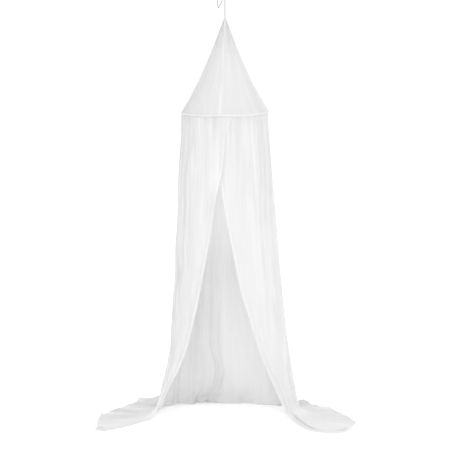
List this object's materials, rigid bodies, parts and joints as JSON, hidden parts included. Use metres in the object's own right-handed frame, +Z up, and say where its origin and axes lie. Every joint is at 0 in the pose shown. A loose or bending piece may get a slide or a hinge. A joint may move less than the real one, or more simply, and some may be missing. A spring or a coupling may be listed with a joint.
{
  "type": "bed canopy with hoop",
  "caption": "Hanging cloth canopy: a cone over a sewn-in hoop, and two long widths that lap at the front, part like a tent door and spread on the floor.",
  "frame": {"origin": "inside top of the hanging loop, where a ceiling hook carries it", "axes": "+Z up along the hanging cord, -Y to the front, where the two widths part, +X to the right seen from the front"},
  "size_m": [1.3987, 1.045, 2.335],
  "materials": {
    "cloth": "matte",
    "cord": "matte",
    "hoop": "matte"
  },
  "bodies": {
    "root": {"hoop": "hoop", "hoop_casing": "cloth", "cone_top": "cloth", "panel_left": "cloth", "panel_right": "cloth", "hanging_cord": "cord", "stopper_knot": "cord", "loop_knot": "cord", "hanging_loop": "cord", "tail_strand_left": "cord", "tail_strand_right": "cord", "tail_knot": "cord"}
  },
  "joints": []
}
